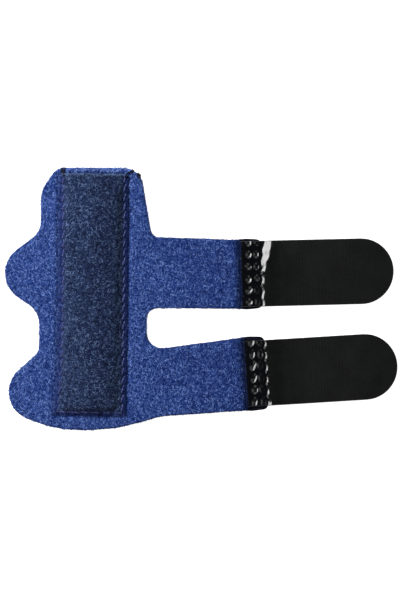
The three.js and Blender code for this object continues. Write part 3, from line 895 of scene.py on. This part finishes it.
def on_neck_band(points):
    """How far points lie in the strip of the neck above the sleeve's mouth, from 0 to 1."""
    narrow = np.abs(sleeve.aside(points)) < 0.55 * sleeve.width
    return smooth_step((sleeve.share(points) - 1) * 60) * narrow


def on_arms(points):
    """How far along the arms points lie, from 0 on the body to 1 near the welds."""
    start = min(tab.start[0] for tab in tabs.values())
    return smooth_step((points[:, 0] - start) / (0.5 * sleeve.length) + 1)


def make_weld_fringe():
    """Matted fibres over the plates' square ends, dark where the weld has melted them."""
    places = []
    for tab in tabs.values():
        x = random.normal(0, FRINGE_SPREAD, FRINGE_FIBRES)
        y = random.uniform(-0.5, 0.5, FRINGE_FIBRES) * tab.width
        places.append(np.column_stack([tab.plan(x, y), np.full(FRINGE_FIBRES, PAD_LEVEL), x]))
    places = np.vstack(places)
    count = len(places)
    make_pile(
        "weld_fringe", places[:, :3], np.tile([0.0, 0.0, 1.0], (count, 1)), blue_pile, "blue_loop_cloth",
        random.uniform(0, 0.5, count), height=FRINGE_HEIGHT,
        melt=0.7 + 0.3 * smooth_step(places[:, 3] / (0.2 * MM)),
    )


def dress_panel(panel):
    """The panel's pile: two meshes of loops on top and one below, matted down where the welds are."""
    for number in (1, 2):
        roots, normals = scattered(panel, PILE_LOOPS, bare_top)
        melt = melted(roots)
        tone = heathered(roots, 2 + number) + NECK_BAND_PALER * on_neck_band(roots)
        # Painted shade: darker towards the arms' ends, and on slopes that face the foot, away from the
        # light.
        tone -= ARMS_PAINTED_SHADE * on_arms(roots) + FOOTWARD_PAINTED_SHADE * np.clip(-normals[:, 1], 0, 1)
        make_pile(
            f"panel_pile_{number}", roots, normals, blue_pile, "blue_loop_cloth", np.clip(tone, 0, 1),
            height=LOOP_HEIGHT * (1 - 0.6 * melt), melt=melt,
        )
    roots, normals = scattered(panel, UNDER_LOOPS, underside)
    make_pile(
        "panel_pile_under", roots, normals, blue_pile, "blue_loop_cloth", heathered(roots, 6),
        height=0.6 * LOOP_HEIGHT, melt=melted(roots),
    )
    make_weld_fringe()


# The sleeve and its seams


def seam_lines():
    """The three seams as plan points: up the left side, up the right side and along the foot."""
    v = np.linspace(SEAM_INSET["foot"] / sleeve.length, 1.0, 80)
    left = sleeve.plan(sleeve.edge("left", v) + SEAM_INSET["left"], v)
    right = sleeve.plan(sleeve.edge("right", v) - SEAM_INSET["right"], v)
    foot = evenly(np.array([left[0], right[0]]), MM)
    return {"left": left, "right": right, "foot": foot}


SEAMS = seam_lines()
SEAM_HOLES = {name: evenly(line, STITCH_PITCH) for name, line in SEAMS.items()}
WAYS_OUT = {"left": -sleeve.across, "right": sleeve.across, "foot": -sleeve.along}


def nearest(points, marks):
    """The distance in plan from each point to the nearest of the marks."""
    starts = range(0, len(points), AT_ONCE)
    parts = [points[start:start + AT_ONCE, None, :2] - marks[None] for start in starts]
    return np.concatenate([np.linalg.norm(part, axis=2).min(axis=1) for part in parts])


def seam_pull(points):
    """How near points are to a seam and to the notches that its needle drew in, each from 0 to 1."""
    walks = np.vstack([evenly(line, 0.2 * MM) for line in SEAMS.values()])
    seam = np.exp(-0.5 * (nearest(points, walks) / SEAM_WIDTH) ** 2)
    notches = np.vstack([holes + WAYS_OUT[name] * NOTCH_OUT for name, holes in SEAM_HOLES.items()])
    notch = np.exp(-0.5 * (nearest(points, notches) / NOTCH_WIDTH) ** 2)
    return seam, notch


def outside_seams(plan):
    """How far points lie outside the seams, as a share of the cloth's margin there, 0 to 1."""
    v = sleeve.share(plan)
    across = sleeve.aside(plan)
    left = (sleeve.edge("left", v) + SEAM_INSET["left"] - across) / SEAM_INSET["left"]
    right = (across - sleeve.edge("right", v) + SEAM_INSET["right"]) / SEAM_INSET["right"]
    foot = (SEAM_INSET["foot"] - v * sleeve.length) / SEAM_INSET["foot"]
    return np.clip(np.maximum.reduce([left, right, foot]), 0, 1)


def in_margin(plan):
    return smooth_step(outside_seams(plan) / 0.35)


def make_sleeve():
    """The sleeve's cloth: a fine closed sheet over the CAD sleeve, drawn down and in at each stitch."""
    rows, columns = SLEEVE_GRID
    v = np.linspace(0, 1, rows)
    up = v * sleeve.length
    pull = EDGE_PULL * (0.5 + 0.5 * np.cos(2 * np.pi * (up - SEAM_INSET["foot"]) / STITCH_PITCH))
    ragged = EDGE_RAGGED * mottle(up[:, None], 3 * MM, 9)
    left = sleeve.edge("left", v) + pull + ragged
    right = sleeve.edge("right", v) - pull - ragged
    even = np.linspace(-1, 1, columns)
    share = 0.5 + 0.5 * (0.75 * even + 0.25 * np.sin(even * math.pi / 2))
    across = left[:, None] * (1 - share) + right[:, None] * share
    plan = sleeve.plan(across, v[:, None]).reshape(-1, 2)
    rise = sleeve_top.at(plan)
    wave = SLEEVE_WAVE * mottle(np.column_stack([plan, rise]), 6 * MM, 12) * (rise > sleeve.base + 1.3 * MM)
    seam, notch = seam_pull(plan)
    margin = EDGE_FALL * smooth_step(outside_seams(plan))
    top = rise + wave - SEAM_DEPTH * seam - NOTCH_DEPTH * notch - margin - 0.08 * MM
    under = np.minimum(sleeve_under.at(plan), top - 0.4 * MM)
    # The margins outside the seams turn to blue in painted shade.
    cloth = grid_sheet(
        "sleeve_cloth", plan, top, under, SLEEVE_GRID, 0.22 * MM, [navy_ground], "navy_felt",
        in_margin(plan),
    )
    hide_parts("sleeve")
    return cloth


def sleeve_face(middles, normals):
    return (normals[:, 2] > -0.1) & (middles[:, 2] > sleeve.base + 0.1 * MM)


def dress_sleeve(cloth):
    """The sleeve's pile, flattened at its seams, and its mouth's cut fibres, pale as a painted highlight."""
    roots, normals = scattered(cloth, PILE_LOOPS - MOUTH_FIBRES, sleeve_face)
    seam, notch = seam_pull(roots)
    across = sleeve.aside(roots)
    in_valley = (sleeve.edge("right", sleeve.share(roots)) - 3 * MM - across) / MM
    # Painted light: paler on the sleeve's left side, which faces the key, and in the shaded valley by its
    # right seam.
    tone = NAVY_TONE * heathered(roots, 21) + VALLEY_PAINTED_LIGHT * np.exp(-in_valley**2)
    tone += LEFT_PAINTED_LIGHT * smooth_step((-across / sleeve.width - 0.25) / 0.2)
    # Painted shade: the loops are a little darker along the seams and much darker in the needle's notches.
    tone *= (1 - 0.25 * seam) * (1 - 0.85 * notch)
    v = np.full(MOUTH_FIBRES, 0.998)
    side = random.uniform(0.06, 0.97, MOUTH_FIBRES)
    lips = sleeve.plan(sleeve.edge("left", v) * (1 - side) + sleeve.edge("right", v) * side, v)
    lips = np.column_stack([lips, sleeve_top.at(lips) - 0.1 * MM])
    turns = [random.uniform(0, 2 * math.pi, len(roots)), random.normal(-0.02, 0.15, len(lips))]
    rises = [LOOP_HEIGHT * (1 - 0.6 * seam), np.full(MOUTH_FIBRES, 0.08 * MM)]
    return make_pile(
        "sleeve_pile", np.vstack([roots, lips]),
        np.vstack([normals, np.tile([0, 0.3, 0.95], (len(lips), 1))]), navy_pile, "navy_felt",
        # The mouth's fibres are pale: a painted highlight along the sleeve's rim.
        np.concatenate([tone, random.uniform(0.6, 1, MOUTH_FIBRES)]),
        height=np.concatenate(rises), heading=np.concatenate(turns),
        # The margins' loops turn to blue in painted shade.
        melt=np.concatenate([in_margin(roots[:, :2]), np.zeros(MOUTH_FIBRES)]),
    )


def surface_reader(piece):
    """Reads the height of a finished piece's upper side at plan points."""
    tree = ray_tree(piece)
    high = cad_high[2] + 5 * MM

    def read(plan):
        return np.array([tree.ray_cast(Vector((*p, high)), -UP)[0].z for p in plan])

    return read


def stitch(start, end, level, into, slant, draw):
    """One stitch from hole to hole, slanted as locked thread lies. into is the way to the cloth, 1 or -1."""
    t = np.linspace(0, 1, 9)
    ahead = unit(end - start)
    side = np.array((-ahead[1], ahead[0]))
    aside = (slant + draw.normal(0, 0.07 * MM)) * (1 - 2 * t)
    plan = start + (end - start) * t[:, None] + side * aside[:, None]
    sink = np.exp(-((t / SINK_SHARE) ** 2)) + np.exp(-(((1 - t) / SINK_SHARE) ** 2))
    height = level - into * (STITCH_ARCH * np.sin(math.pi * t) - STITCH_SINK * sink)
    return tube(np.column_stack([plan, height]), THREAD_RADIUS * draw.uniform(0.85, 1.15))


def make_stitches(cloth):
    """The seams' thread, on the sleeve and coming through on the underside."""
    read = surface_reader(cloth)
    draw = np.random.default_rng(STITCH_SEED)
    under = cad_low[2] + THREAD_RADIUS + UNDER_THREAD_RISE
    above, below = [], []
    for name, holes in SEAM_HOLES.items():
        slant = STITCH_SLANT[name]
        for start, end in zip(holes[:-1], holes[1:]):
            level = read([(start + end) / 2 * 0.999])[0] + THREAD_RISE
            above.append(stitch(start, end, level, -1, slant, draw))
            below.append(stitch(start, end, under, 1, slant, draw))
    add_piece("underside_stitches", *joined(below), [seam_thread], "blue_loop_cloth")
    return add_piece("sleeve_stitches", *joined(above), [seam_thread], "navy_felt")


def make_thread_ends():
    """The seams' dark thread ends: they run off the sleeve and are wrapped over the neck's edge."""
    edge = cad_high[1]
    parts = []
    thick = float(panel_top.at(SEAMS["left"][-1:])[0]) + 0.42 * MM
    left, right = SEAMS["left"][-1][0], SEAMS["right"][-1][0]
    wraps = [(left + (0.25 * n - 0.8) * MM, edge - 0.1 * (n % 2) * MM, 0.22 * MM) for n in range(5)]
    wraps += [(right + (2.3 + 0.35 * n) * MM, edge - (0.7 + 0.12 * n) * MM, 0.2 * MM) for n in range(2)]
    wraps += [(right + (4.0 + 0.35 * n) * MM, edge - (1.6 + 0.3 * n) * MM, 0.22 * MM) for n in range(3)]
    for x, rim, radius in wraps:
        path = [
            (x - 0.2 * MM, rim - 1.1 * MM, thick), (x, rim - 0.35 * MM, thick + 0.1 * MM),
            (x + 0.05 * MM, rim + 0.12 * MM, thick - 0.4 * MM), (x + 0.1 * MM, rim + 0.2 * MM, 0.5 * thick),
            (x, rim - 0.6 * MM, 0.3 * MM),
        ]
        parts.append(tube(evenly(np.array(path), 0.25 * MM), radius))
    for name, over, radius in (("left", (-0.4, 0.9), 0.28 * MM), ("right", (2.3, 1.2), 0.2 * MM)):
        x, y = SEAMS[name][-1]
        tail = [
            (x, y - 0.9 * MM, thick + 1.1 * MM),
            (x + 0.3 * over[0] * MM, y + 0.4 * over[1] * MM, thick + 0.3 * MM),
            (x + over[0] * MM, y + over[1] * MM, thick),
            (x + over[0] * MM, edge - 0.3 * MM, thick - 0.2 * MM),
        ]
        parts.append(tube(evenly(np.array(tail), 0.3 * MM), radius))
    return add_piece("thread_ends", *joined(parts), [dark_thread], "navy_felt")


# The hook tabs


def dimpled(x, y, height, draw):
    """How deep the weld's pins have pressed the pad: two columns of rounded cones, no two quite alike."""
    depth = np.zeros(len(x))
    for row in range(DIMPLE_ROWS):
        for middle, deep in zip(DIMPLE_COLUMNS, DIMPLE_DEPTHS):
            centre = (row - (DIMPLE_ROWS - 1) / 2) * DIMPLE_PITCH + DIMPLE_SHIFT
            aside = y - centre - draw.normal(0, DIMPLE_SCATTER)
            along = x - middle - draw.normal(0, DIMPLE_SCATTER)
            turn = draw.uniform(-0.35, 0.35)
            wide, tall = (size * draw.uniform(0.9, 1.1) for size in (DIMPLE_REACH, height))
            oval = np.hypot((along + turn * aside) / wide, aside / tall)
            depth = np.maximum(depth, deep * draw.uniform(0.85, 1.15) * (1 - oval**DIMPLE_ROUNDNESS))
    return depth


def hump(name, tab, x, y):
    """How high the plate stands over its pad past the weld. It leaves the pad in a scalloped line, first
    up a bright face and then in a long low hump. Between some pins the face is too steep to shine."""
    share = np.clip(y / tab.width + 0.5, 0, 1)
    scallop = -np.cos(2 * math.pi * y / DIMPLE_PITCH)
    if name.startswith("upper"):
        straight = 0.75 * MM + 1.95 * MM * smooth_step((share - 0.4) / 0.5)
        start = WELD_LENGTH + 1.1 * MM * np.clip((share - 0.6) / 0.4, 0, 1) ** 2
        steep = smooth_step((-scallop - 0.55) / 0.15) * (share > 0.2) * (share < 0.55)
    else:
        straight = 0.65 * MM + 0.5 * MM * smooth_step((0.15 - share) / 0.1)
        start = WELD_LENGTH
        steep = smooth_step((-scallop - 0.2) / 0.15)
    past = np.maximum(x - start - SCALLOP * scallop, 0)
    high = RISE_SLOPE * straight
    slope = RISE_SLOPE * (1 + 1.5 * steep)
    # The last of the face rolls over into the hump.
    climb = slope * past / high
    rolled = climb - np.clip(climb - 1 + FACE_ROLL, 0, 2 * FACE_ROLL) ** 2 / (4 * FACE_ROLL)
    face = high * np.minimum(rolled, 1)
    beyond = np.maximum(past - high / slope, 0)
    rest = np.maximum(HUMP_RISE - high, 0.1 * MM)
    return face + rest * (1 - np.exp(-beyond / HUMP_LENGTH))


def make_tab(name):
    """A tab's plate: level and dimpled on its weld, rising over its hump, and falling to its tip."""
    tab = tabs[name]
    seed = TAB_SEEDS[name]
    black = moulded_black(f"{name} plastic", tab)
    fine, coarse, rows = 78, 34, 138
    rim = tab.width / 2 + PLATE_FLARE
    inner = np.linspace(-rim + RIM_CELLS[0], rim - RIM_CELLS[0], rows - 4)
    y = np.concatenate([[-rim, -rim + RIM_CELLS[1]], inner, [rim - RIM_CELLS[1], rim]])
    near = np.linspace(0, FINE_LENGTH, fine)
    t = np.linspace(0, 1, coarse + 1)[1:]
    tip = (tab.tip(y * tab.width / 2 / rim) + TIP_FLARE)[:, None]
    far = FINE_LENGTH + t * (tip - RIM_CELLS[0] - FINE_LENGTH)
    x = np.hstack([np.tile(near, (rows, 1)), far, tip - RIM_CELLS[1], tip])
    y = np.repeat(y[:, None], x.shape[1], axis=1)
    shape = x.shape
    plan = tab.plan(x, y).reshape(-1, 2)
    x, y = x.ravel(), y.ravel()
    draw = np.random.default_rng(seed)
    weld = 1 - smooth_step((x - WELD_LENGTH) / MM)
    pad = PAD_LEVEL + weld * 0.05 * MM * mottle(plan, 1.2 * MM, seed)
    pad -= dimpled(x, y, DIMPLE_HEIGHTS[name], draw)
    level = tab_tops[name].at(plan) + 0.04 * MM * mottle(plan, 9 * MM, seed + 1)
    blend = smooth_step((x - FINE_LENGTH) / LEVELLING)
    top = (pad + hump(name, tab, x, y)) * (1 - blend) + level * blend
    under = np.where(x < WELD_LENGTH, PRESSED_LEVEL, top - PLATE_THICKNESS)
    under = np.minimum(under, top - 0.25 * MM)
    plate = grid_sheet(
        f"{name}_plate", plan, top, under, shape, 0.15 * MM, [black], "black_hook_plastic", weld
    )
    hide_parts(name)
    make_hooks(name, tab, surface_reader(plate), black)


def make_hooks(name, tab, read, material):
    """Rows of small moulded hooks under the plate, each bent over towards the tip or the weld in turn."""
    parts = []
    bend = np.linspace(0, 1.25 * math.pi, 7)
    for row in range(HOOK_ROWS):
        y = (row - (HOOK_ROWS - 1) / 2) * HOOK_PITCH[1]
        way = 1 if row % 2 else -1
        end = float(tab.tip(np.array(y))) - HOOKS_CLEAR
        for x in np.arange(HOOKS_FROM, end, HOOK_PITCH[0]):
            plan = tab.plan(np.array(x), np.array(y))
            foot = read([plan])[0] - PLATE_THICKNESS
            out = np.concatenate([[0], HOOK_CURL * (1 - np.cos(bend))])
            down = np.concatenate([[-0.1 * MM], HOOK_STEM + HOOK_CURL * np.sin(bend)])
            line = np.array([(*(plan + tab.along * way * o), foot - d) for o, d in zip(out, down)])
            line[:, 2] = np.maximum(line[:, 2], cad_low[2] + 0.12 * MM)
            parts.append(tube(line, np.linspace(*HOOK_RADII, len(line)), sides=5))
    return add_piece(f"{name}_hooks", *joined(parts), [material], "black_hook_plastic")


# The room


def add_light(name, azimuth, elevation, distance, size, power):
    """A soft box that faces the splint. Azimuth 0 is on its right, 90 beyond its neck."""
    data = bpy.data.lights.new(name, "AREA")
    data.shape = "RECTANGLE"
    data.size, data.size_y = size
    data.energy = power
    light = add_object(name, data)
    turn, rise = math.radians(azimuth), math.radians(elevation)
    away = Vector((math.cos(turn) * math.cos(rise), math.sin(turn) * math.cos(rise), math.sin(rise)))
    light.location = away * distance
    light.rotation_euler = away.to_track_quat("Z", "Y").to_euler()


def make_room():
    """A white table, the key light low and near on the left, and weaker light from the other sides."""
    bpy.ops.mesh.primitive_plane_add(size=6, location=(0, 0, cad_low[2] - 0.02 * MM))
    floor = bpy.context.object
    floor.name = "floor"
    n = Nodes("white table")
    grain = n.noise(2 * MM, detail=2)
    seen = n.add("ShaderNodeLightPath").outputs["Is Camera Ray"]
    floor.data.materials.append(n.finish(
        Base_Color=n.ramp(grain, [(0.0, (0.5, 0.5, 0.5)), (1.0, (0.55, 0.55, 0.55))]),
        Roughness=0.9, Emission_Color=(1, 1, 1, 1), Emission_Strength=seen,
    ))
    for name, values in LIGHTS.items():
        add_light(name, *values)
    world = bpy.data.worlds.new("dim studio")
    world.use_nodes = True
    background = world.node_tree.nodes["Background"]
    background.inputs["Color"].default_value = (1, 1, 1, 1)
    background.inputs["Strength"].default_value = WORLD_STRENGTH
    scene.world = world
    scene.view_settings.view_transform = "Standard"


def make_camera():
    """Straight above, with the splint where the photograph has it."""
    data = bpy.data.cameras.new("camera")
    data.sensor_fit = "VERTICAL"
    data.lens = data.sensor_height * (CAMERA_HEIGHT - SHARP_LEVEL) / (PHOTO_PIXELS[1] * PIXEL)
    camera = add_object("camera", data)
    right = OBJECT_MIDDLE_PIXEL[0] - PHOTO_PIXELS[0] / 2
    above = PHOTO_PIXELS[1] / 2 - OBJECT_MIDDLE_PIXEL[1]
    camera.location = (-right * PIXEL, -above * PIXEL, CAMERA_HEIGHT)
    scene.camera = camera


make_camera()
make_room()
laminate = make_panel()
dress_panel(laminate)
sleeve_cloth = make_sleeve()
sleeve_dress = [dress_sleeve(sleeve_cloth), make_stitches(sleeve_cloth)]
make_thread_ends()
for tab_name in tabs:
    make_tab(tab_name)
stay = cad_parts["stay_bar"]
stay.data.materials[0] = brushed_aluminium("stay aluminium", sleeve.turn)
